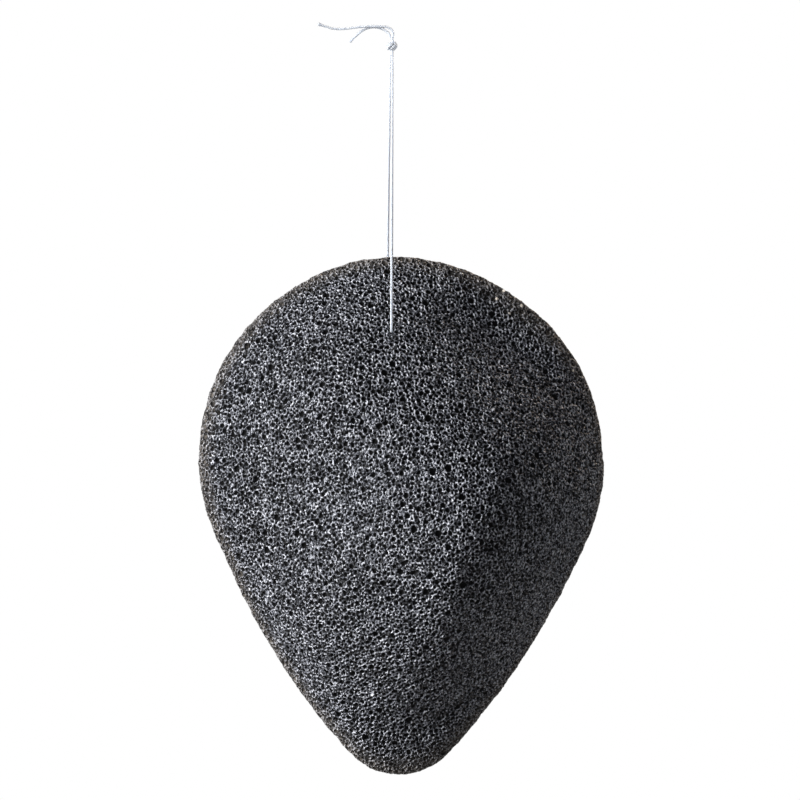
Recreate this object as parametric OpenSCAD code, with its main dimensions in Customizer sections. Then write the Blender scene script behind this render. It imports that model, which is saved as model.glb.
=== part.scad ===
// A drop-shaped konjac face sponge, moulded in one piece of open-pored foam, on a loop of cotton thread.
// The thread goes through the foam from front to back near the top. Its two strands meet in a tied knot.
// The frame: the domed front faces -Y, +Z is up, and the origin is where the loop hangs, under the knot.

/* [Foam body] */
// Length of the body from the round head to the blunt tip
body_len = 90; // [80:1:110]
// Radius of the round head, which is half of the greatest width
head_r = 35.2; // [30:0.1:38]
// Radius of the blunt tip
tip_r = 11.4; // [8:0.1:14]
// Radius of the gently bowed flanks between head and tip
flank_r = 127; // [90:1:400]
// Height of the domed front over the widest line, without its swells
front_h = 22.8; // [16:0.1:30]
// Depth of the soft-edged back behind the widest line
back_h = 5.5; // [3:0.5:10]
// How far the top of the dome lies below the middle of the head
crown_drop = 9; // [0:0.5:12]
// How far the top of the dome lies to the right of the centre line
crown_side = 10; // [-12:0.5:12]
// Fullness of the dome's top, where less is more pointed
dome_fullness = 1.9; // [1.3:0.1:3]
// Slant of the dome at the widest line, where 0.5 stands upright and 1 leaves a clear edge
edge_slant = 0.95; // [0.5:0.05:1.2]
// Depth of the deepest of the broad dents that the dome dried with, where 0 leaves it even
dent_h = 3.4; // [0:0.2:5]
// Fullness of the back, where more is flatter with a tighter edge
back_fullness = 4; // [2:0.5:6]

/* [Thread] */
// Diameter of the twisted cotton thread
thread_d = 0.5; // [0.3:0.05:0.8]
// Radial clearance of the needle channel round the thread
channel_gap = 0.07; // [0.03:0.01:0.1]
// Width of the pulled knot from side to side
knot_w = 1.9; // [1.4:0.1:3]
// Depth of the pulled knot from front to back
knot_deep = 1.9; // [1.4:0.1:3]
// Height of the pulled knot with the four strands that leave it
knot_h = 2; // [1.6:0.1:3]

/* [Hanging] */
// Drop from the underside of the knot to the top of the body
loop_drop = 35.5; // [25:0.5:60]
// Depth of the needle channel below the top of the body
needle_drop = 13; // [9:0.5:20]
// How far the channel lies to the left of the body's centre line
needle_side = 1.6; // [0:0.1:4]
// How far the body's widest line lies behind the hanging thread
rim_back = 6.4; // [2:0.1:10]

/* [Hidden] */

foam_colour = "#3b3c40";
thread_colour = "#eceef2";

// The body's outline: a head arc and a tip arc, with a flank arc on each side that runs on into both
span = body_len - head_r - tip_r;
flank_up = ((flank_r - tip_r) ^ 2 - (flank_r - head_r) ^ 2 - span ^ 2) / (2 * span);
flank_across = sqrt((flank_r - head_r) ^ 2 - flank_up ^ 2);
head_a = atan2(flank_up, flank_across);
tip_a = atan2(flank_up + span, flank_across);
head_steps = 34;
flank_steps = 8;
tip_steps = 12;
head_z = -loop_drop - head_r;
crown = [crown_side, -crown_drop];
dome_rings = 12;
back_rings = 8;
// The dome's broad swells and dents: place across and up from the head's middle and radius, in head radii, and
// height in depths of the deepest dent
swell_shares = [
    [0.5, 0.6, 0.45, -1], [0.35, -0.45, 0.45, 0.6], [-0.4, -0.85, 0.45, 0.65], [-0.5, -0.15, 0.4, -0.6],
    [0.1, -1.35, 0.4, -0.9], [-0.35, 0.35, 0.35, 0.4]
];
// The swells fade out towards the rim, over this share of the dome's height
swell_fade_share = 0.34;

// The thread's channel and the thread's routes, as points along the middle of each strand
channel_z = -loop_drop - needle_drop;
channel_r = thread_d / 2 + channel_gap;
front_route = [
    [0, -3.8, -48.5], [0, -4.4, -48.5], [0, -4.9, -48.4], [0, -5.2, -48.1], [0, -5.3, -47.6],
    [0, -5.2, -46.8], [0.1, -3, -24], [0.15, -0.9, -1.8], [0.15, -0.4, -0.9], [0.15, -0.22, -0.5],
    [0.15, -0.22, 0]
];
back_route = [
    [0, 11.4, -48.5], [0, 11.9, -48.5], [0, 12.3, -48.4], [-0.1, 12.7, -48.1], [-0.2, 12.8, -47.6],
    [-0.3, 12.7, -46.8], [-0.6, 11.5, -40], [-0.7, 10.5, -35.5], [-0.5, 6.2, -21], [-0.2, 0.9, -1.8],
    [-0.15, 0.4, -0.9], [-0.15, 0.22, -0.5], [-0.15, 0.22, 0]
];
long_route = [
    [0.15, -0.22, 2], [0.15, -0.22, 2.5], [0.3, -0.25, 3.1], [0.2, -0.3, 3.7], [-0.3, -0.35, 4.2],
    [-1, -0.4, 4.4], [-2.2, -0.4, 4.5], [-3.7, -0.4, 4.5], [-5, -0.4, 4.4], [-6.3, -0.4, 4.3],
    [-7.7, -0.3, 4.1], [-9, -0.2, 4], [-10.3, -0.2, 4.1], [-11.6, -0.3, 4.5], [-12.8, -0.4, 4.9]
];
short_route = [
    [-0.15, 0.22, 2], [-0.15, 0.22, 2.5], [-0.3, 0.25, 3], [-0.7, 0.25, 3.5], [-1.4, 0.25, 4],
    [-2.7, 0.25, 4.4], [-3.9, 0.25, 4.3], [-4.9, 0.3, 3.9], [-5.8, 0.4, 3.2], [-6.6, 0.5, 2.5],
    [-7.3, 0.6, 1.8]
];
ring_step = 6 * thread_d;
thread_sides = 8;

// The knot's strands wind twice round its middle and three times over its rim, in shares of their diameter
knot_turn = 35;
core_share = 1.08;
lobe_share = 0.5;
rise_share = 0.9;
twin_share = 0.6;
knot_gap_a = 20;
knot_steps = 32;
knot_sides = 6;
// Places of the strand's way in, as it comes up from below and out to the knot's side
way_in_shares = [
    [0, 0, -2.3], [0, 0, -2.1], [0, 0, -1.9], [0.4, 0.1, -1.6], [0.95, 0.3, -1.35], [1.4, 0.55, -0.75],
    [1.5, 0.75, 0]
];

function unit(v) = v / norm(v);
function arc(centre, r, from, to, steps) = [
    for (i = [0 : steps - 1])
        let (a = from + (to - from) * i / steps)
            centre + r * [cos(a), sin(a)]
];

// Points of the outline round the middle of the head, anticlockwise as the front is seen
function outline() = concat(
    arc([0, 0], head_r, -head_a, 180 + head_a, head_steps),
    arc([flank_across, flank_up], flank_r, 180 + head_a, 180 + tip_a, flank_steps),
    arc([0, -span], tip_r, 180 + tip_a, 360 - tip_a, tip_steps),
    arc([-flank_across, flank_up], flank_r, 360 - tip_a, 360 - head_a, flank_steps)
);

// How far the broad swells lift a place that already stands at a height over the widest line
function swelled(p, height) =
    let (
        lifts = [
            for (s = swell_shares)
                let (away = (p - head_r * [s[0], s[1]]) / (head_r * s[2]))
                    s[3] * exp(-away * away)
        ],
        faded = min(max(height / (swell_fade_share * front_h), 0), 1)
    )
        dent_h * faded * (lifts * [for (s = swell_shares) 1]);

// A place of the body's surface, and a ring of them: the outline drawn in towards the crown, at one height
function surface_point(p, height) = [needle_side + p.x, rim_back - height - swelled(p, height), head_z + p.y];
function body_ring(share, height) = [for (p = outline()) surface_point(crown + (p - crown) * share, height)];

// Share of the outline that is left, and share of the height reached, at an angle up a full curve
function drawn_in(a, fullness) = cos(a) ^ (2 / fullness);
function risen(a, slant) = sin(a) ^ (2 * slant);

// Triangles between two rings of n points, and from a ring to a single point
function band(first, second, n) = [
    for (i = [0 : n - 1])
        let (j = (i + 1) % n)
            each [[first + i, first + j, second + j], [first + i, second + j, second + i]]
];
function fan(point, ring, n, turned) = [
    for (i = [0 : n - 1])
        let (j = (i + 1) % n)
            turned ? [point, ring + i, ring + j] : [point, ring + j, ring + i]
];

module foam_solid() {
    n = len(outline());
    rings = concat(
        [for (i = [dome_rings - 1 : -1 : 0])
            let (a = 90 * i / dome_rings)
                body_ring(drawn_in(a, dome_fullness), front_h * risen(a, edge_slant))],
        [for (i = [1 : back_rings - 1])
            let (a = 90 * i / back_rings)
                body_ring(drawn_in(a, back_fullness), -back_h * risen(a, 1 / back_fullness))]
    );
    points = concat(
        [surface_point(crown, front_h)],
        [for (r = rings) each r],
        [surface_point(crown, -back_h)]
    );
    faces = concat(
        fan(0, 1, n, false),
        [for (k = [0 : len(rings) - 2]) each band(1 + k * n, 1 + (k + 1) * n, n)],
        fan(len(points) - 1, 1 + (len(rings) - 1) * n, n, true)
    );
    polyhedron(points = points, faces = faces);
}

// A round bar along Y through the middle of the channel
module along_channel(r, from, to) {
    translate([0, to, channel_z])
        rotate([90, 0, 0])
            cylinder(r = r, h = to - from, $fn = 48);
}

// A route with more rings on its long straight runs
function spaced(route) = concat(
    [for (i = [0 : len(route) - 2])
        let (way = route[i + 1] - route[i], n = max(1, ceil(norm(way) / ring_step)))
            for (k = [0 : n - 1]) route[i] + way * k / n],
    [route[len(route) - 1]]
);

// Direction of a path at point i, halfway between the runs that meet there
function heading(path, i) = unit(
    (i > 0 ? unit(path[i] - path[i - 1]) : [0, 0, 0])
    + (i < len(path) - 1 ? unit(path[i + 1] - path[i]) : [0, 0, 0])
);
function square_to(v, t) = unit(v - (v * t) * t);

// A tube swept along a path. Each ring starts at the side that the list of normals gives
module swept(path, normals, d, sides) {
    points = [
        for (i = [0 : len(path) - 1])
            let (t = heading(path, i), u = square_to(normals[i], t), v = cross(t, u))
                for (k = [0 : sides - 1])
                    let (a = 360 * k / sides)
                        path[i] + d / 2 * (cos(a) * u + sin(a) * v)
    ];
    last = (len(path) - 1) * sides;
    faces = concat(
        [for (k = [1 : sides - 2]) [0, k, k + 1]],
        [for (i = [0 : len(path) - 2]) each band((i + 1) * sides, i * sides, sides)],
        [for (k = [1 : sides - 2]) [last, last + k + 1, last + k]]
    );
    polyhedron(points = points, faces = faces);
}

module strand(route, side) {
    path = spaced(route);
    swept(path, [for (p = path) side], thread_d, thread_sides);
}

// The knot's middle line and outward side, at an angle t round it
function round_knot(t) = thread_d * [
    (core_share + lobe_share * cos(3 * t)) * cos(2 * t),
    (core_share + lobe_share * cos(3 * t)) * sin(2 * t),
    rise_share * sin(3 * t)
];
function outward(t) = [cos(3 * t) * cos(2 * t), cos(3 * t) * sin(2 * t), sin(3 * t)];
function turned_over(p) = [p.x, -p.y, -p.z];

// The two strands of the knot lie side by side along one overhand path
module tied_strand(side) {
    way_in = [for (p = way_in_shares) p * thread_d];
    angles = [for (i = [0 : knot_steps]) knot_gap_a + (360 - 2 * knot_gap_a) * i / knot_steps];
    last = len(way_in) - 1;
    middle = concat(
        way_in,
        [for (t = angles) round_knot(t)],
        [for (i = [last : -1 : 0]) turned_over(way_in[i])]
    );
    in_sides = [for (i = [0 : last]) unit([1, 0, i < 3 ? 0 : -1 + i / last])];
    sides = concat(
        in_sides,
        [for (t = angles) outward(t)],
        [for (i = [last : -1 : 0]) turned_over(in_sides[i])]
    );
    path = [
        for (i = [0 : len(middle) - 1])
            let (t = heading(middle, i))
                middle[i] + side * twin_share * thread_d * cross(t, square_to(sides[i], t))
    ];
    swept(path, sides, thread_d, knot_sides);
}

module sponge() {
    color(foam_colour)
        difference() {
            foam_solid();
            along_channel(channel_r, rim_back - front_h, rim_back + back_h);
        }
}

module string_inside() {
    color(thread_colour)
        along_channel(thread_d / 2, front_route[0].y, back_route[0].y);
}

module string_front() {
    color(thread_colour)
        strand(front_route, [1, 0, 0]);
}

module string_back() {
    color(thread_colour)
        strand(back_route, [1, 0, 0]);
}

module knot() {
    color(thread_colour)
        translate([0, 0, knot_h / 2])
            rotate([0, 0, knot_turn])
                resize([knot_w, knot_deep, knot_h])
                    union() {
                        tied_strand(-1);
                        tied_strand(1);
                    }
}

module tail_long() {
    color(thread_colour)
        strand(long_route, [0, 1, 0]);
}

module tail_short() {
    color(thread_colour)
        strand(short_route, [0, 1, 0]);
}

sponge();
string_inside();
string_front();
string_back();
knot();
tail_long();
tail_short();
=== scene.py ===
"""A drop-shaped charcoal konjac sponge on a tied loop of cotton thread, dressed for rendering."""
import math
import random

import bmesh
import bpy
import numpy as np
from mathutils import Matrix, Vector, kdtree, noise


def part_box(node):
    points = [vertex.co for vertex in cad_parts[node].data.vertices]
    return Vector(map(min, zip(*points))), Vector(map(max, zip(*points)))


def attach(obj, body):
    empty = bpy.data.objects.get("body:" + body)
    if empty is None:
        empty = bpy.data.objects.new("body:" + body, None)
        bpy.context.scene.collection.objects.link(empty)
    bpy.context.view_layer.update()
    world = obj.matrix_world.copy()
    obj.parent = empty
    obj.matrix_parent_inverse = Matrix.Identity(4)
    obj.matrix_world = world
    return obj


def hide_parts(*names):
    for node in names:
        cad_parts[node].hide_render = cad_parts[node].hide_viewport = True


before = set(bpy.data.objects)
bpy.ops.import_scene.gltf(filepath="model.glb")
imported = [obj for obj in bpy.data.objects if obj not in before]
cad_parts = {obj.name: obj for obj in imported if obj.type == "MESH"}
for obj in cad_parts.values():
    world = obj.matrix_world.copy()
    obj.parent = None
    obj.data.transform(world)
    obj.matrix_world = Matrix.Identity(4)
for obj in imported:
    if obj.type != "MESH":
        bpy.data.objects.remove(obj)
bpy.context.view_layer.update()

MM = 0.001
# Stands in for a length of nothing where something is divided by it
TINY = 1e-6
SPONGE_LOW, SPONGE_HIGH = (Vector(corner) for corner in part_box("sponge"))

# Foam body, in mm. The round head, blunt tip and bowed flanks make its outline, as in the CAD solid
HEAD_R = (SPONGE_HIGH.x - SPONGE_LOW.x) / MM / 2
BODY_LEN = (SPONGE_HIGH.z - SPONGE_LOW.z) / MM
MIDDLE_X = (SPONGE_HIGH.x + SPONGE_LOW.x) / MM / 2
HEAD_Z = SPONGE_HIGH.z / MM - HEAD_R
TIP_R = 11.4
FLANK_R = 127.0
FRONT_H = 22.8
BACK_H = 5.5
RIM_Y = SPONGE_HIGH.y / MM - BACK_H
CROWN = (10.0, -9.0)
DOME_FULLNESS = 1.9
EDGE_SLANT = 0.95
BACK_FULLNESS = 4.0
# The dome's broad swells and dents: place across and up from the head's middle and radius, in head radii, and
# height in depths of the deepest dent
DENT_H = 3.4
SWELL_SHARES = [
    (0.5, 0.6, 0.45, -1.0), (0.35, -0.45, 0.45, 0.6), (-0.4, -0.85, 0.45, 0.65), (-0.5, -0.15, 0.4, -0.6),
    (0.1, -1.35, 0.4, -0.9), (-0.35, 0.35, 0.35, 0.4),
]
SWELL_FADE_SHARE = 0.34

# The needle channel runs from front to back at this height, with the thread in it
THREAD_D = 0.5
CHANNEL_Z = -48.5


def colour(text):
    """A colour written as an sRGB hex value, turned linear for Blender."""
    parts = [int(text[i:i + 2], 16) / 255 for i in (1, 3, 5)]
    return [c / 12.92 if c <= 0.04045 else ((c + 0.055) / 1.055) ** 2.4 for c in parts] + [1.0]


def add(tree, kind, inputs=None, **settings):
    """A node with its settings, and its inputs as values or as the sockets that feed them."""
    made = tree.nodes.new(kind)
    for name, value in settings.items():
        setattr(made, name, value)
    for socket, value in (inputs or {}).items():
        if isinstance(value, bpy.types.NodeSocket):
            tree.links.new(value, made.inputs[socket])
        else:
            made.inputs[socket].default_value = value
    return made


def new_material(name):
    """An empty material with its node tree."""
    made = bpy.data.materials.new(name)
    made.use_nodes = True
    made.node_tree.nodes.clear()
    return made, made.node_tree


def shown(name, data):
    """A new object in the scene, for a mesh or a curve."""
    piece = bpy.data.objects.new(name, data)
    bpy.context.scene.collection.objects.link(piece)
    return piece


def meshed(source, name):
    """The source object's finished mesh, as a new mesh with no modifiers left."""
    graph = bpy.context.evaluated_depsgraph_get()
    mesh = bpy.data.meshes.new_from_object(source.evaluated_get(graph))
    mesh.name = name
    return mesh


# Camera: it looks along +Y, level with the photograph's middle, from far enough for a flat view
SCALE_MM_PER_PX = 0.1741
PHOTO_PX = 800
PHOTO_X_OF_THREAD = 391.5
PHOTO_Y_OF_KNOT = 53
CAMERA_AWAY = 2500.0
NEAREST_SEEN = 10.0
SENSOR = 36.0

camera_data = bpy.data.cameras.new("camera")
camera_data.sensor_width = SENSOR
camera_data.lens = SENSOR * (CAMERA_AWAY + RIM_Y) / (PHOTO_PX * SCALE_MM_PER_PX)
camera_data.clip_start = NEAREST_SEEN * MM
camera = bpy.data.objects.new("camera", camera_data)
camera.location = (
    (PHOTO_PX / 2 - PHOTO_X_OF_THREAD) * SCALE_MM_PER_PX * MM,
    -CAMERA_AWAY * MM,
    -(PHOTO_PX / 2 - PHOTO_Y_OF_KNOT) * SCALE_MM_PER_PX * MM,
)
camera.rotation_euler = (math.radians(90), 0, 0)
bpy.context.scene.collection.objects.link(camera)
bpy.context.scene.camera = camera

# The thread's routes, in mm, as in the CAD solids: each mouth of the channel to the knot, and the cut tails
FRONT_ROUTE = [
    (0, -3.8, -48.5), (0, -4.4, -48.5), (0, -4.9, -48.4), (0, -5.2, -48.1), (0, -5.3, -47.6),
    (0, -5.2, -46.8), (0.1, -3, -24), (0.15, -0.9, -1.8), (0.15, -0.4, -0.9), (0.15, -0.22, -0.5),
    (0.15, -0.22, 0),
]
BACK_ROUTE = [
    (0, 11.4, -48.5), (0, 11.9, -48.5), (0, 12.3, -48.4), (-0.1, 12.7, -48.1), (-0.2, 12.8, -47.6),
    (-0.3, 12.7, -46.8), (-0.6, 11.5, -40), (-0.7, 10.5, -35.5), (-0.5, 6.2, -21), (-0.2, 0.9, -1.8),
    (-0.15, 0.4, -0.9), (-0.15, 0.22, -0.5), (-0.15, 0.22, 0),
]
LONG_ROUTE = [
    (0.15, -0.22, 2), (0.15, -0.22, 2.5), (0.3, -0.25, 3.1), (0.2, -0.3, 3.7), (-0.3, -0.35, 4.2),
    (-1, -0.4, 4.4), (-2.2, -0.4, 4.5), (-3.7, -0.4, 4.5), (-5, -0.4, 4.4), (-6.3, -0.4, 4.3),
    (-7.7, -0.3, 4.1), (-9, -0.2, 4), (-10.3, -0.2, 4.1), (-11.6, -0.3, 4.5), (-12.8, -0.4, 4.9),
]
SHORT_ROUTE = [
    (-0.15, 0.22, 2), (-0.15, 0.22, 2.5), (-0.3, 0.25, 3), (-0.7, 0.25, 3.5), (-1.4, 0.25, 4),
    (-2.7, 0.25, 4.4), (-3.9, 0.25, 4.3), (-4.9, 0.3, 3.9), (-5.8, 0.4, 3.2), (-6.6, 0.5, 2.5),
    (-7.3, 0.6, 1.8),
]

# The knot: its size in mm when drawn tight, and how far it hangs turned. Two strands lie side by side along
# one overhand path, which goes twice round its middle and three times in and out, with a gap for its ends
KNOT_W, KNOT_DEEP, KNOT_H = 1.9, 1.9, 2.0
KNOT_TURN = math.radians(35)
KNOT_STEPS = 32
KNOT_GAP = math.radians(20)
KNOT_ROUNDS, KNOT_LOBES = 2, 3
# The path's form and the way into it from below, in shares of the thread's diameter. The pair of strands only
# starts to turn after the first points of the way in
CORE_SHARE, LOBE_SHARE, RISE_SHARE, TWIN_SHARE = 1.08, 0.5, 0.9, 0.6
WAY_IN_SHARES = [
    (0, 0, -2.3), (0, 0, -2.1), (0, 0, -1.9), (0.4, 0.1, -1.6), (0.95, 0.3, -1.35), (1.4, 0.55, -0.75),
    (1.5, 0.75, 0),
]
STRAIGHT_IN = 3


def turned_over(p):
    """A place of the knot's lower half, as it is in its upper half."""
    return Vector((p.x, -p.y, -p.z))


def knot_strand(side):
    """One strand's middle line through the knot, from its underside to its top, before it is drawn tight."""
    way_in = [Vector(p) * THREAD_D for p in WAY_IN_SHARES]
    last = len(way_in) - 1
    angles = [KNOT_GAP + (2 * math.pi - 2 * KNOT_GAP) * i / KNOT_STEPS for i in range(KNOT_STEPS + 1)]
    rounds, outwards = [], []
    for t in angles:
        x, y = math.cos(KNOT_ROUNDS * t), math.sin(KNOT_ROUNDS * t)
        out, up = math.cos(KNOT_LOBES * t), math.sin(KNOT_LOBES * t)
        reach = CORE_SHARE + LOBE_SHARE * out
        rounds.append(THREAD_D * Vector((reach * x, reach * y, RISE_SHARE * up)))
        outwards.append(Vector((out * x, out * y, up)))
    in_sides = [
        Vector((1, 0, 0 if i < STRAIGHT_IN else -1 + i / last)).normalized() for i in range(last + 1)
    ]
    middle = way_in + rounds + [turned_over(p) for p in reversed(way_in)]
    sides = in_sides + outwards + [turned_over(p) for p in reversed(in_sides)]
    line = []
    for i, place in enumerate(middle):
        way = Vector()
        if i > 0:
            way += (place - middle[i - 1]).normalized()
        if i < len(middle) - 1:
            way += (middle[i + 1] - place).normalized()
        way.normalize()
        square = (sides[i] - way * sides[i].dot(way)).normalized()
        line.append(place + way.cross(square) * side * TWIN_SHARE * THREAD_D)
    return line


def tight_knot():
    """Both strands of the knot, drawn to its size and turned as it hangs."""
    strands = [knot_strand(-1), knot_strand(1)]
    # The CAD knot is sized by its outer faces, half a thread outside the strands' middle lines
    reach = [
        max(p[k] for line in strands for p in line) - min(p[k] for line in strands for p in line)
        for k in range(3)
    ]
    grown = [KNOT_W / (reach[0] + THREAD_D), KNOT_DEEP / (reach[1] + THREAD_D), KNOT_H / reach[2]]
    turn = Matrix.Rotation(KNOT_TURN, 3, "Z")
    lift = Vector((0, 0, KNOT_H / 2))
    return [
        [turn @ Vector([p[k] * grown[k] for k in range(3)]) + lift for p in line]
        for line in strands
    ]


CORNER_CUTS = 4
CUT_SHARE = 0.25


def smooth_line(route, step):
    """A route with its corners cut round, as points an even step apart, and its length."""
    points = [Vector(p) for p in route]
    for _ in range(CORNER_CUTS):
        cut = [points[0]]
        for a, b in zip(points, points[1:]):
            cut += [a.lerp(b, CUT_SHARE), a.lerp(b, 1 - CUT_SHARE)]
        points = cut + [points[-1]]
    lengths = [0.0]
    for a, b in zip(points, points[1:]):
        lengths.append(lengths[-1] + (b - a).length)
    count = round(lengths[-1] / step)
    even, k = [], 0
    for i in range(count + 1):
        at = lengths[-1] * i / count
        while k < len(points) - 2 and lengths[k + 1] < at:
            k += 1
        share = (at - lengths[k]) / max(lengths[k + 1] - lengths[k], TINY)
        even.append(points[k].lerp(points[k + 1], share))
    return even, lengths[-1]


# Three plies twisted together make the thread, so its section has three lobes that turn along it
PLIES = 3
PLY_POINTS = 6
PLY_DIP_SHARE = 0.2
PLY_BLUNTNESS = 0.8
TWIST_PITCH = 1.3
THREAD_STEP = 0.1
# The cut end of each tail opens out over its last stretch
FRAY_MM = 0.9
FRAY_SHARE = 0.5


def ply_section():
    """The thread's three-lobed section as a closed curve, for the strands to be swept with."""
    curve = bpy.data.curves.new("ply_section", "CURVE")
    curve.dimensions = "2D"
    line = curve.splines.new("POLY")
    count = PLIES * PLY_POINTS
    line.points.add(count - 1)
    for i in range(count):
        a = 2 * math.pi * i / count
        lobe = abs(math.cos(PLIES * a / 2))
        r = THREAD_D / 2 * MM * (1 - PLY_DIP_SHARE * (1 - lobe ** PLY_BLUNTNESS))
        line.points[i].co = (r * math.cos(a), r * math.sin(a), 0, 1)
    line.use_cyclic_u = True
    return bpy.data.objects.new("ply_section", curve)


SECTION = ply_section()


def twisted_thread(name, route):
    """A thread along a route, as a mesh, with the even points that it follows and its length."""
    points, length = smooth_line(route, THREAD_STEP)
    curve = bpy.data.curves.new(name, "CURVE")
    curve.dimensions = "3D"
    curve.twist_mode = "MINIMUM"
    curve.bevel_mode = "OBJECT"
    curve.bevel_object = SECTION
    curve.use_fill_caps = True
    line = curve.splines.new("POLY")
    line.points.add(len(points) - 1)
    for i, place in enumerate(points):
        line.points[i].co = (*(place * MM), 1)
        line.points[i].tilt = 2 * math.pi * i * THREAD_STEP / TWIST_PITCH
        to_end = (len(points) - 1 - i) * THREAD_STEP
        line.points[i].radius = 1 + FRAY_SHARE * max(0.0, 1 - to_end / FRAY_MM)
    source = shown(name + "_line", curve)
    piece = shown(name, meshed(source, name))
    bpy.data.objects.remove(source)
    for face in piece.data.polygons:
        face.use_smooth = len(face.vertices) == 4
    return piece, [p * MM for p in points], length * MM


cotton, tree = new_material("white_twisted_cotton")
# Soft-spun cotton: matt white fibres with a faint cool cast, darker where the plies meet
place = add(tree, "ShaderNodeTexCoord")
# Real fibres are near 0.02 mm thick, too fine to show, so they are drawn coarser
fibre_mm = 0.09
fibre = add(tree, "ShaderNodeTexNoise", {
    "Vector": place.outputs["Object"], "Scale": 1 / (fibre_mm * MM), "Detail": 2.0, "Roughness": 0.6,
})
tint = add(tree, "ShaderNodeMix", {
    "Factor": fibre.outputs["Fac"], "A": colour("#b8bec9"), "B": colour("#e0e5ed"),
}, data_type="RGBA")
bump = add(tree, "ShaderNodeBump", {
    "Height": fibre.outputs["Fac"], "Strength": 0.35, "Distance": 0.04 * MM,
})
cloth = add(tree, "ShaderNodeBsdfPrincipled", {
    "Base Color": tint.outputs["Result"], "Roughness": 0.85, "Specular IOR Level": 0.25,
    "Sheen Weight": 0.3, "Sheen Roughness": 0.5, "Normal": bump.outputs["Normal"],
    "Subsurface Weight": 1.0, "Subsurface Radius": (1.0, 1.0, 1.0), "Subsurface Scale": 0.6 * MM,
})
add(tree, "ShaderNodeOutputMaterial", {"Surface": cloth.outputs["BSDF"]})

knot_front, knot_back = tight_knot()
thread_front, front_path, front_length = twisted_thread(
    "thread_front", FRONT_ROUTE + [tuple(p) for p in knot_front] + LONG_ROUTE
)
thread_back, back_path, back_length = twisted_thread(
    "thread_back", BACK_ROUTE + [tuple(p) for p in knot_back] + SHORT_ROUTE
)
for strand, nodes in (
    (thread_front, ("string_front", "knot", "tail_long")),
    (thread_back, ("string_back", "knot", "tail_short")),
):
    strand.data.materials.append(cotton)
    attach(strand, "thread")
    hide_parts(*nodes)
# The stretch in the channel can't be seen, so its CAD solid stays and only takes the cotton
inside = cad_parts["string_inside"]
inside.data.materials.clear()
inside.data.materials.append(cotton)

# How many points draw each arc of the body's outline, and how many rings its sphere has from front to back
HEAD_STEPS, FLANK_STEPS, TIP_STEPS = 140, 36, 44
BODY_RINGS = 80


def arc(cx, cz, r, start, end, steps):
    """Even points of an arc, without its last one."""
    angles = [start + (end - start) * i / steps for i in range(steps)]
    return [(cx + r * math.cos(angle), cz + r * math.sin(angle)) for angle in angles]


def body_outline():
    """The drop's outline round the middle of its head: four arcs that run on into each other."""
    span = BODY_LEN - HEAD_R - TIP_R
    up = ((FLANK_R - TIP_R) ** 2 - (FLANK_R - HEAD_R) ** 2 - span ** 2) / (2 * span)
    across = math.sqrt((FLANK_R - HEAD_R) ** 2 - up ** 2)
    head_a = math.atan2(up, across)
    tip_a = math.atan2(up + span, across)
    half, full = math.pi, 2 * math.pi
    return (
        arc(0, 0, HEAD_R, -head_a, half + head_a, HEAD_STEPS)
        + arc(across, up, FLANK_R, half + head_a, half + tip_a, FLANK_STEPS)
        + arc(0, -span, TIP_R, half + tip_a, full - tip_a, TIP_STEPS)
        + arc(-across, up, FLANK_R, full - tip_a, full - head_a, FLANK_STEPS)
    )


# The foam's mesh: its step in mm, and the turn that keeps its grid from lining up with the view
FOAM_STEP = 0.17
GRID_TURN = Matrix.Rotation(0.7, 4, Vector((1, 2, 3)).normalized())
# Soft swells, lumps and clumps all over the foam, and lumps in its rim: size and height in mm, noise pattern
SWELL_MM, SWELL_HEIGHT, SWELL_PATTERN = 16.0, 0.1, 1
LUMP_MM, LUMP_HEIGHT, LUMP_PATTERN = 2.0, 0.12, 4
CLUMP_MM, CLUMP_HEIGHT, CLUMP_PATTERN = 1.0, 0.06, 5
RIM_LUMP_MM, RIM_LUMP_HEIGHT, RIM_LUMP_PATTERN = 1.8, 0.16, 6
# The skin reaches this far in front of the rim and behind it, and takes this share of a pore's depth
SKIN_MM = 2.8
SKIN_CLOSES = 0.6
# Pale flecks of dried gel stand up from the foam, coloured near white as painted glints: place across and up,
# and radius, in mm
FLECK_HEIGHT = 0.25
FLECKS = [
    (18.4, -42.7, 0.34), (20.6, -45.3, 0.26), (22.7, -43.9, 0.3), (29.3, -56.2, 0.24), (31.8, -55.2, 0.34),
    (34.5, -58.6, 0.28), (19.6, -41.3, 0.3), (-30.5, -52.0, 0.2), (12.5, -38.4, 0.24),
]
# Finer rises and hollows of the dome: place across and up from the head's middle, radius and height, in mm
FINE_SWELLS = [
    (21, -17, 13, 1.3), (20, 21, 12, -1.0), (-23, 3, 13, -0.6), (5, 5, 12, 0.3), (4, -42, 12, -1.0),
    (-14, 23, 9, 0.2), (17, -27, 9, 0.35),
]
# Where the rim stands off a perfect drop: angle round the head's middle and spread in degrees, mm outwards
RIM_DRIFTS = [(55, 22, -0.6), (209, 14, -0.35), (256, 12, 0.4), (350, 20, 0.35)]
# The thread draws the foam in where it enters: a pit round each mouth of the channel
MOUTH_R = 0.45
MOUTH_DEPTH = 1.1


def drifted(x, z):
    """A point of the outline, moved out or in where the rim drifts."""
    reach, angle = math.hypot(x, z), math.degrees(math.atan2(z, x)) % 360
    drift = sum(by * math.exp(-((angle - at) / spread) ** 2) for at, spread, by in RIM_DRIFTS)
    return x * (1 + drift / reach), z * (1 + drift / reach)


def swelled(x, z, height):
    """How far the swells lift a place that already stands at a height over the widest line."""
    lift = sum(
        share * math.exp(-((x / HEAD_R - across) ** 2 + (z / HEAD_R - up) ** 2) / r ** 2)
        for across, up, r, share in SWELL_SHARES
    )
    fine = sum(
        by * math.exp(-((x - across) ** 2 + (z - up) ** 2) / r ** 2) for across, up, r, by in FINE_SWELLS
    )
    return (DENT_H * lift + fine) * min(max(height / (SWELL_FADE_SHARE * FRONT_H), 0.0), 1.0)


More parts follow.
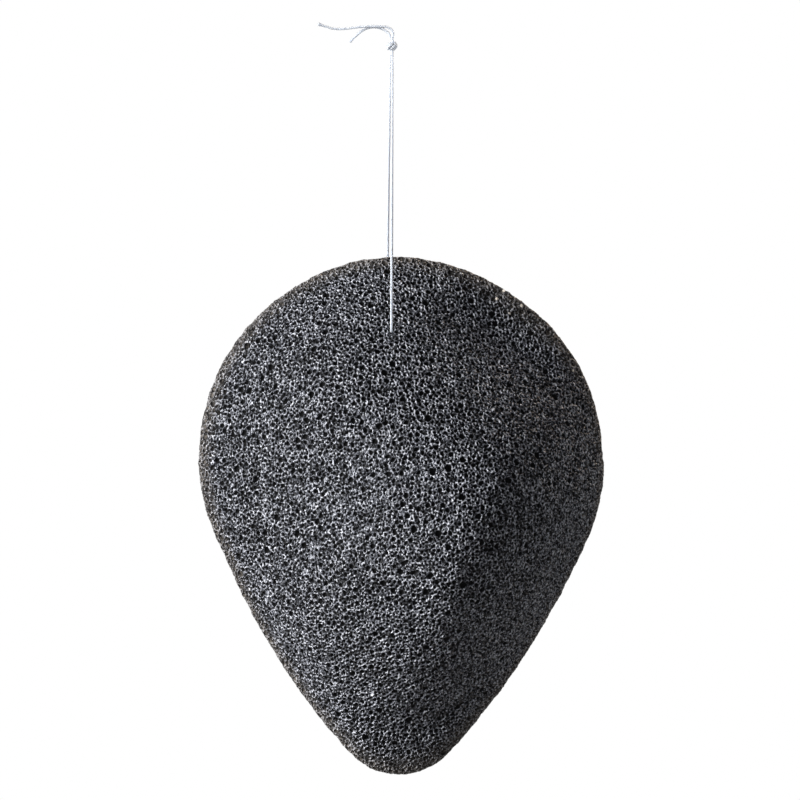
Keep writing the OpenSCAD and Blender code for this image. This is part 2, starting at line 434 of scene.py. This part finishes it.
def bare_body():
    """The smooth body as a fine even mesh."""
    outline = [drifted(x, z) for x, z in body_outline()]
    count = len(outline)
    bm = bmesh.new()
    bmesh.ops.create_uvsphere(bm, u_segments=count, v_segments=BODY_RINGS, radius=1)
    for vert in bm.verts:
        x, z = outline[round(math.atan2(vert.co.y, vert.co.x) / (2 * math.pi) * count) % count]
        front = vert.co.z > 0
        fullness, slant = (DOME_FULLNESS, EDGE_SLANT) if front else (BACK_FULLNESS, 1 / BACK_FULLNESS)
        rise = min(abs(vert.co.z), 1.0)
        share = max(0.0, 1 - rise * rise) ** (1 / fullness)
        x = CROWN[0] + (x - CROWN[0]) * share
        z = CROWN[1] + (z - CROWN[1]) * share
        height = (FRONT_H if front else -BACK_H) * rise ** (2 * slant)
        vert.co = Vector((MIDDLE_X + x, RIM_Y - height - swelled(x, z, height), HEAD_Z + z)) * MM
    mesh = bpy.data.meshes.new("bare_body")
    bm.to_mesh(mesh)
    bm.free()
    mesh.transform(GRID_TURN)
    body = shown("bare_body", mesh)
    grid = body.modifiers.new("grid", "REMESH")
    grid.mode = "VOXEL"
    grid.voxel_size = FOAM_STEP * MM
    fine = meshed(body, "foam_sponge")
    bpy.data.objects.remove(body)
    fine.transform(GRID_TURN.inverted())
    return fine


# Pores by size, in mm: radius, least gap to the next one's edge, how many at most, and the share with a film
PORES = [
    (0.54, 0.7, 450, 0.0),
    (0.42, 0.3, 2300, 0.0),
    (0.34, 0.14, 5000, 0.04),
    (0.27, 0.04, 90000, 0.08),
    (0.22, 0.0, 90000, 0.2),
]
# The seed of the random draws, the spread of the radii, and how much of its film a filmed pore keeps
PORE_SEED = 20
SIZE_SPREAD = (0.85, 1.15)
FILM_SPREAD = (0.4, 1.0)
# The pores swell until they meet in walls of about this half width, which a noise makes ragged
SWOLLEN = 1.2
HALF_WALL = 0.065
RAGGED_MM, RAGGED_SHARE, RAGGED_PATTERN = 0.5, 0.8, 2
CREST_HEIGHT = 0.08
# A pore's depth and the slope of its bowl in shares of its radius, and the share of that depth under a film
PORE_DEPTH_SHARE = 1.2
BOWL_SHARE = 0.7
FILM_DEPTH_SHARE = 0.3
# How far past its edge a pore is measured, in mm, and the distance that stands for farther than that
REACH = 0.4
FAR = 9.0
# Noises that bend the pores out of round: size and strength in mm
WARPS = ((0.9, 0.17), (0.45, 0.11))
# A wider noise makes the pores larger in some places: its size in mm, and its share of the radius
CLUSTER_MM = 1.5
CLUSTER_SHARE = 0.25
# Painted sheen: round this place more pores keep a pale film, for a pale sheen patch on the dome: place (x,
# z), radius in mm and added share
SHEEN_PATCH = (-5.0, -77.0)
SHEEN_PATCH_R = 14.0
SHEEN_PATCH_SHARE = 0.16


def blown_pores(places):
    """Pores blown into the foam: how far each place lies from the edges of its two nearest pores, which pore
    is the nearest, and every pore's radius and film."""
    rng = random.Random(PORE_SEED)
    # The noise vectors below are drawn from this seed
    noise.seed_set(PORE_SEED)
    count = len(places)
    warped = []
    for place in places:
        p = Vector(place) / MM
        for size, by in WARPS:
            p = p + by * noise.noise_vector(p / size)
        warped.append(p)
    tree = kdtree.KDTree(count)
    for i, p in enumerate(warped):
        tree.insert(p, i)
    tree.balance()
    first, second, owner = [FAR] * count, [FAR] * count, [0] * count
    order = list(range(count))
    rng.shuffle(order)
    radii, films = [], []
    for radius, gap, most, filmed in PORES:
        made = 0
        for i in order:
            if first[i] < radius + gap:
                continue
            drift = 1 + CLUSTER_SHARE * noise.noise(warped[i] / CLUSTER_MM)
            r = radius * rng.uniform(*SIZE_SPREAD) * drift
            pore = len(radii)
            radii.append(r)
            # Painted sheen: near the patch's middle, pores on the front keep a pale film more often
            away = math.hypot(warped[i].x - SHEEN_PATCH[0], warped[i].z - SHEEN_PATCH[1]) / SHEEN_PATCH_R
            sheen_films = SHEEN_PATCH_SHARE * math.exp(-away ** 2) if warped[i].y < RIM_Y else 0.0
            films.append(rng.uniform(*FILM_SPREAD) if rng.random() < filmed + sheen_films else 0.0)
            for _, j, away in tree.find_range(warped[i], r + gap + REACH):
                edge = away - r
                if edge < first[j]:
                    second[j] = first[j]
                    first[j] = edge
                    owner[j] = pore
                elif edge < second[j]:
                    second[j] = edge
            made += 1
            if made == most:
                break
    return [np.array(values) for values in (first, second, owner, radii, films)]


NOISE_SHIFT = (13.7, 7.1, 3.3)


def noise_at(places, size_mm, pattern):
    """Noise of one size at each place. Each pattern number gives noise of its own."""
    shift = Vector([pattern * by for by in NOISE_SHIFT])
    return np.array([noise.noise(Vector(p) / (size_mm * MM) + shift) for p in places])


# The foam's own UV map: its front and back as two drops side by side, even over the smooth surface
UV_SAMPLES = 64
UV_WIDTH = 0.48
UV_MIDDLES = ((0.24, 0.6), (0.76, 0.6))


def along_profile(share, height, full_height, fullness, slant):
    """How far each place lies from the rim along the dome or the back, and the whole way to the crown."""
    turns = np.linspace(0, math.pi / 2, UV_SAMPLES)
    across = HEAD_R * np.cos(turns) ** (2 / fullness)
    up = full_height * np.sin(turns) ** (2 * slant)
    lengths = np.concatenate([[0], np.cumsum(np.hypot(np.diff(across), np.diff(up)))])
    rise = np.clip(height / full_height, 0, 1) ** (1 / slant)
    turn = np.arctan2(np.sqrt(rise), np.sqrt(share ** fullness))
    return np.interp(turn, turns, lengths), lengths[-1]


def lay_out(mesh, places):
    """Gives the mesh its UV map from its vertices' places on the smooth body."""
    outline = np.array([drifted(x, z) for x, z in body_outline()]) - CROWN
    angles = np.arctan2(outline[:, 1], outline[:, 0])
    order = np.argsort(angles)
    across = places[:, 0] / MM - MIDDLE_X - CROWN[0]
    up = places[:, 2] / MM - HEAD_Z - CROWN[1]
    rim = np.hypot(outline[:, 0], outline[:, 1])
    reach = np.interp(np.arctan2(up, across), angles[order], rim[order], period=2 * math.pi)
    out = np.maximum(np.hypot(across, up), TINY)
    share = np.clip(out / reach, 0, 1)
    height = RIM_Y - places[:, 1] / MM
    front, front_way = along_profile(share, height, FRONT_H, DOME_FULLNESS, EDGE_SLANT)
    back, back_way = along_profile(share, -height, BACK_H, BACK_FULLNESS, 1 / BACK_FULLNESS)
    from_rim = np.where(height > 0, front, -back)
    size = UV_WIDTH / (2 * HEAD_R)
    maps = []
    for side, (middle, way) in zip((1, -1), zip(UV_MIDDLES, (front_way, back_way))):
        radius = (1 - side * from_rim / way) * reach * size
        u = middle[0] + side * radius * across / out
        v = middle[1] + radius * up / out
        maps.append(np.stack([u, v], axis=1))
    corners = np.empty(len(mesh.loops), np.int32)
    mesh.loops.foreach_get("vertex_index", corners)
    sizes = np.empty(len(mesh.polygons), np.int32)
    mesh.polygons.foreach_get("loop_total", sizes)
    starts = np.concatenate([[0], np.cumsum(sizes)[:-1]])
    in_front = np.repeat(np.add.reduceat(from_rim[corners], starts) > 0, sizes)
    laid = np.where(in_front[:, None], maps[0][corners], maps[1][corners])
    layer = mesh.uv_layers.new(name="OFBake")
    layer.uv.foreach_set("vector", laid.astype(np.float32).ravel())


# Places deeper in a pore or a wall than this, in mm, look the same
INSIDE_SPAN = 0.5


def foam_sponge():
    """The foam body with its pores, and what the foam's material has to know of each place."""
    mesh = bare_body()
    count = len(mesh.vertices)
    places = np.empty(count * 3, np.float32)
    mesh.vertices.foreach_get("co", places)
    places = places.reshape(-1, 3).astype(float)
    outwards = np.empty(count * 3, np.float32)
    mesh.vertices.foreach_get("normal", outwards)
    outwards = outwards.reshape(-1, 3).astype(float)
    swell = (
        SWELL_HEIGHT * noise_at(places, SWELL_MM, SWELL_PATTERN)
        + LUMP_HEIGHT * noise_at(places, LUMP_MM, LUMP_PATTERN)
        + CLUMP_HEIGHT * noise_at(places, CLUMP_MM, CLUMP_PATTERN)
    )
    first, second, owner, radii, films = blown_pores(places)
    pore_r = radii[owner]
    film = films[owner]
    ragged = noise_at(places, RAGGED_MM, RAGGED_PATTERN)
    # How deep inside its pore each place lies, in mm, and below zero in a wall
    half_wall = HALF_WALL * (1 + RAGGED_SHARE * ragged)
    inside = np.minimum(pore_r * (SWOLLEN - 1) - first, (second - first) / 2 - half_wall)
    # Skin at the rim, where the foam lay against the mould: its pores are shallow and half closed
    rim = np.clip(1 - np.abs(places[:, 1] / MM - RIM_Y) / SKIN_MM, 0, 1)
    skin = rim * rim * (3 - 2 * rim)
    share = np.clip(inside / (BOWL_SHARE * pore_r), 0, 1)
    bowl = np.sqrt(1 - (1 - share) ** 2)
    open_share = np.where(film > 0, FILM_DEPTH_SHARE, 1.0)
    depth = PORE_DEPTH_SHARE * pore_r * bowl * open_share * (1 - SKIN_CLOSES * skin)
    crest = CREST_HEIGHT * ragged * (inside < 0)
    from_channel = np.hypot(places[:, 0], places[:, 2] - CHANNEL_Z * MM) / MM
    mouth = MOUTH_DEPTH * np.exp(-(from_channel / MOUTH_R) ** 2)
    rim_lumps = RIM_LUMP_HEIGHT * skin * noise_at(places, RIM_LUMP_MM, RIM_LUMP_PATTERN)
    fleck = np.zeros(count)
    for across, up, r in FLECKS:
        away = np.hypot(places[:, 0] / MM - across, places[:, 2] / MM - up)
        face = places[away < away.min() + r, 1].min() / MM
        fleck = np.maximum(fleck, np.exp(-(away ** 2 + (places[:, 1] / MM - face) ** 2) / r ** 2))
    depth *= 1 - fleck
    rise = swell + rim_lumps + crest + FLECK_HEIGHT * fleck - depth - mouth
    moved = places + outwards * (rise * MM)[:, None]
    mesh.vertices.foreach_set("co", moved.astype(np.float32).ravel())
    for name, values in (
        ("inside_mm", np.clip(inside, -INSIDE_SPAN, INSIDE_SPAN)),
        ("film", film),
        ("skin", skin),
        ("fleck", fleck),
    ):
        mesh.attributes.new(name, "FLOAT", "POINT").data.foreach_set("value", values.astype(np.float32))
    lay_out(mesh, places)
    mesh.shade_smooth()
    mesh.update()
    return shown("foam_sponge", mesh)


charcoal, tree = new_material("charcoal_konjac_foam")
# Konjac gel foamed with bamboo charcoal and dried: thin glassy cell walls round black pores, with painted
# glints on the walls and painted shade deeper in the pores
inside_mm, film, skin, fleck = (
    add(tree, "ShaderNodeAttribute", attribute_name=name) for name in ("inside_mm", "film", "skin", "fleck")
)
place = add(tree, "ShaderNodeTexCoord")
# The walls run on upwards a little, the way the foam rose
drawn_up_share = 0.7
drawn_up = add(tree, "ShaderNodeMapping", {
    "Vector": place.outputs["Object"], "Scale": (1.0, 1.0, drawn_up_share),
})
grain_mm = 0.3
grain = add(tree, "ShaderNodeTexNoise", {
    "Vector": drawn_up.outputs["Vector"], "Scale": 1 / (grain_mm * MM), "Detail": 0.3, "Roughness": 0.6,
    "Distortion": 0.6,
})
patch_mm = 1.2
patch = add(tree, "ShaderNodeTexNoise", {
    "Vector": place.outputs["Object"], "Scale": 1 / (patch_mm * MM), "Detail": 2.0, "Roughness": 0.6,
})
# Small grain and broader patches make some walls pale and others near black, at random; the palest walls,
# near white, are painted glints
grain_weight = 0.9
patch_weight = 0.43
grained = add(tree, "ShaderNodeMath", {0: grain.outputs["Fac"], 1: grain_weight}, operation="MULTIPLY")
tone_and_glint = add(tree, "ShaderNodeMath", {
    0: patch.outputs["Fac"], 1: patch_weight, 2: grained.outputs["Value"],
}, operation="MULTIPLY_ADD")
# Painted highlight: the top stop paints glints on the walls, while the lower stops are the walls' own tones
wall_tones_and_glints = [(0.525, "#0c0c0e"), (0.652, "#505259"), (0.752, "#abadb8"), (0.835, "#ecedf4")]
walls = add(tree, "ShaderNodeValToRGB", {"Fac": tone_and_glint.outputs["Value"]})
stops = walls.color_ramp.elements
stops.remove(stops[1])
stops[0].position, stops[0].color = wall_tones_and_glints[0][0], colour(wall_tones_and_glints[0][1])
for position, tone in wall_tones_and_glints[1:]:
    stops.new(position).color = colour(tone)
# Painted shade: deeper in a pore the colour turns near black, standing for the shade that fills it
pore_shade_depth = add(tree, "ShaderNodeMapRange", {
    "Value": inside_mm.outputs["Fac"], "From Min": -0.01, "From Max": 0.1, "To Min": 0.0, "To Max": 1.0,
}, interpolation_type="SMOOTHSTEP")
lip = add(tree, "ShaderNodeMapRange", {
    "Value": inside_mm.outputs["Fac"], "From Min": -0.06, "From Max": 0.14, "To Min": 1.0, "To Max": 0.0,
}, interpolation_type="SMOOTHSTEP")
# A pore that keeps its film shows the gel in it instead of the painted shade
film_weight = 0.8
open_share = add(tree, "ShaderNodeMath", {
    0: film.outputs["Fac"], 1: -film_weight, 2: 1.0,
}, operation="MULTIPLY_ADD")
pore_shade = add(tree, "ShaderNodeMath", {
    0: pore_shade_depth.outputs["Result"], 1: open_share.outputs["Value"],
}, operation="MULTIPLY")
walls_and_pore_shade = add(tree, "ShaderNodeMix", {
    "Factor": pore_shade.outputs["Value"], "A": walls.outputs["Color"], "B": colour("#0b0b0c"),
}, data_type="RGBA")
# The skin at the rim is browner and duller: partly the skin's own tone, partly painted light, a brown cast
# for light seen through the thin walls at the edge. The flecks on it are nearly white, painted glints
skin_and_backlit_weight = 0.65
skin_and_backlit_share = add(tree, "ShaderNodeMath", {0: skin.outputs["Fac"], 1: skin_and_backlit_weight}, operation="MULTIPLY")
skin_and_backlit_tone = add(tree, "ShaderNodeMapRange", {
    "Value": tone_and_glint.outputs["Value"], "From Min": 0.54, "From Max": 0.79, "To Min": 0.0, "To Max": 1.0,
}, interpolation_type="SMOOTHSTEP")
# Painted light and skin tone: a brown cast round the rim, standing for light through the thin walls
skin_and_backlit_tint = add(tree, "ShaderNodeMix", {
    "Factor": skin_and_backlit_tone.outputs["Result"], "A": colour("#312e2c"), "B": colour("#867e76"),
}, data_type="RGBA")
with_skin_and_backlit_tint = add(tree, "ShaderNodeMix", {
    "Factor": skin_and_backlit_share.outputs["Value"], "A": walls_and_pore_shade.outputs["Result"], "B": skin_and_backlit_tint.outputs["Result"],
}, data_type="RGBA")
# Painted highlight: the flecks take a near-white colour that stands for their glints
fleck_glint_share = add(tree, "ShaderNodeMapRange", {
    "Value": fleck.outputs["Fac"], "From Min": 0.25, "From Max": 0.5, "To Min": 0.0, "To Max": 1.0,
}, interpolation_type="SMOOTHSTEP")
tint = add(tree, "ShaderNodeMix", {
    "Factor": fleck_glint_share.outputs["Result"], "A": with_skin_and_backlit_tint.outputs["Result"], "B": colour("#fff4e6"),
}, data_type="RGBA")
# The walls are glassy and the pores dull
rough = add(tree, "ShaderNodeMapRange", {
    "Value": inside_mm.outputs["Fac"], "From Min": 0.0, "From Max": 0.15, "To Min": 0.4, "To Max": 0.95,
})
edges = add(tree, "ShaderNodeBump", {
    "Height": lip.outputs["Result"], "Strength": 1.0, "Distance": 0.2 * MM,
})
fine = add(tree, "ShaderNodeBump", {
    "Height": grain.outputs["Fac"], "Strength": 1.0, "Distance": 0.3 * MM, "Normal": edges.outputs["Normal"],
})
gel = add(tree, "ShaderNodeBsdfPrincipled", {
    "Base Color": tint.outputs["Result"], "Roughness": rough.outputs["Result"],
    "Specular IOR Level": 0.3, "Normal": fine.outputs["Normal"],
})
add(tree, "ShaderNodeOutputMaterial", {"Surface": gel.outputs["BSDF"]})

sponge = foam_sponge()
sponge.data.materials.append(charcoal)
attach(sponge, "body")
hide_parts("sponge")

# Studio: a white room with a pale floor well under the hanging sponge, a soft key from the left, a weak fill
# from the front, a warm light from behind and a narrow one on the thread
FLOOR_Z = -260.0
FLOOR_R = 420.0
FLOOR_STEPS = 96
FLOOR_FADE_SHARE = 0.5
THREAD_LIGHT_SPREAD = math.radians(5)
THREAD_LIGHT_BLEND = 0.6
THREAD_LIGHT_R = 10.0


def hung_lamp(data, place_mm, target_mm, strength):
    """Puts a lamp in the studio, turned towards a target."""
    data.energy = strength
    lamp = bpy.data.objects.new(data.name, data)
    lamp.location = Vector(place_mm) * MM
    way = Vector([part * MM for part in target_mm]) - lamp.location
    lamp.rotation_euler = way.to_track_quat("-Z", "Y").to_euler()
    bpy.context.scene.collection.objects.link(lamp)


def soft_lamp(name, place_mm, size_mm, strength, tint_hex):
    """A round softbox, turned towards the middle of the sponge's head."""
    data = bpy.data.lights.new(name, "AREA")
    data.shape = "DISK"
    data.size = size_mm * MM
    data.color = colour(tint_hex)[:3]
    hung_lamp(data, place_mm, (MIDDLE_X, 0, HEAD_Z), strength)


soft_lamp("key", (-830, -318, 148), 480, 15.8, "#fdfefe")
soft_lamp("front_fill", (0, -901, 88), 500, 1.8, "#f9fbff")
soft_lamp("back_light", (400, 600, 560), 400, 6.2, "#ffe5cb")
# The white room lights the thread above the sponge from the right as well
thread_light = bpy.data.lights.new("thread_light", "SPOT")
thread_light.spot_size = THREAD_LIGHT_SPREAD
thread_light.spot_blend = THREAD_LIGHT_BLEND
thread_light.shadow_soft_size = THREAD_LIGHT_R * MM
hung_lamp(thread_light, (500, -500, 60), (-5, 0, 9), 9.0)

world = bpy.data.worlds.new("studio")
bpy.context.scene.world = world
world.use_nodes = True
tree = world.node_tree
tree.nodes.clear()
WHITE_ROOM = 1.0
FILL = 0.02
BACKDROP = 1.0
path = add(tree, "ShaderNodeLightPath")
seen = add(tree, "ShaderNodeMath", {
    0: path.outputs["Is Camera Ray"], 1: path.outputs["Is Transmission Ray"],
}, operation="MAXIMUM")
# The white backdrop behind the sponge lights its rim and its back
way = add(tree, "ShaderNodeTexCoord")
way_parts = add(tree, "ShaderNodeSeparateXYZ", {"Vector": way.outputs["Generated"]})
backdrop = add(tree, "ShaderNodeMapRange", {
    "Value": way_parts.outputs["Y"], "From Min": 0.3, "From Max": 0.8, "To Min": FILL, "To Max": BACKDROP,
}, interpolation_type="SMOOTHSTEP")
# A reflection that looks back past the sponge finds the backdrop as white as the camera does
mirrored = add(tree, "ShaderNodeMapRange", {
    "Value": way_parts.outputs["Y"], "From Min": 0.0, "From Max": 0.5, "To Min": FILL, "To Max": WHITE_ROOM,
}, interpolation_type="SMOOTHSTEP")
lit_or_mirrored = add(tree, "ShaderNodeMix", {
    "Factor": path.outputs["Is Glossy Ray"], "A": backdrop.outputs["Result"], "B": mirrored.outputs["Result"],
}, data_type="FLOAT")
level = add(tree, "ShaderNodeMix", {
    "Factor": seen.outputs["Value"], "A": lit_or_mirrored.outputs["Result"], "B": WHITE_ROOM,
}, data_type="FLOAT")
sky = add(tree, "ShaderNodeBackground", {"Color": colour("#ffffff"), "Strength": level.outputs["Result"]})
add(tree, "ShaderNodeOutputWorld", {"Surface": sky.outputs["Background"]})

bm = bmesh.new()
bmesh.ops.create_circle(bm, cap_ends=True, segments=FLOOR_STEPS, radius=FLOOR_R * MM)
bmesh.ops.translate(bm, verts=bm.verts, vec=Vector((0, 0, FLOOR_Z * MM)))
floor_mesh = bpy.data.meshes.new("floor")
bm.to_mesh(floor_mesh)
bm.free()
floor = shown("floor", floor_mesh)
paper, tree = new_material("pale_studio_paper")
# Matt paper that fades out into the white room, so that no edge of it shows
pale = add(tree, "ShaderNodeBsdfDiffuse", {"Color": colour("#f2f2f2")})
clear = add(tree, "ShaderNodeBsdfTransparent")
place = add(tree, "ShaderNodeTexCoord")
away = add(tree, "ShaderNodeVectorMath", {
    0: place.outputs["Object"], 1: (0.0, 0.0, -FLOOR_Z * MM),
}, operation="ADD")
distance = add(tree, "ShaderNodeVectorMath", {0: away.outputs["Vector"]}, operation="LENGTH")
fade = add(tree, "ShaderNodeMapRange", {
    "Value": distance.outputs["Value"], "From Min": FLOOR_FADE_SHARE * FLOOR_R * MM, "From Max": FLOOR_R * MM,
    "To Min": 0.0, "To Max": 1.0,
}, interpolation_type="SMOOTHSTEP")
edge = add(tree, "ShaderNodeMixShader", {
    0: fade.outputs["Result"], 1: pale.outputs["BSDF"], 2: clear.outputs["BSDF"],
})
add(tree, "ShaderNodeOutputMaterial", {"Surface": edge.outputs["Shader"]})
floor.data.materials.append(paper)
floor.visible_diffuse = False

bpy.context.scene.view_settings.view_transform = "Standard"
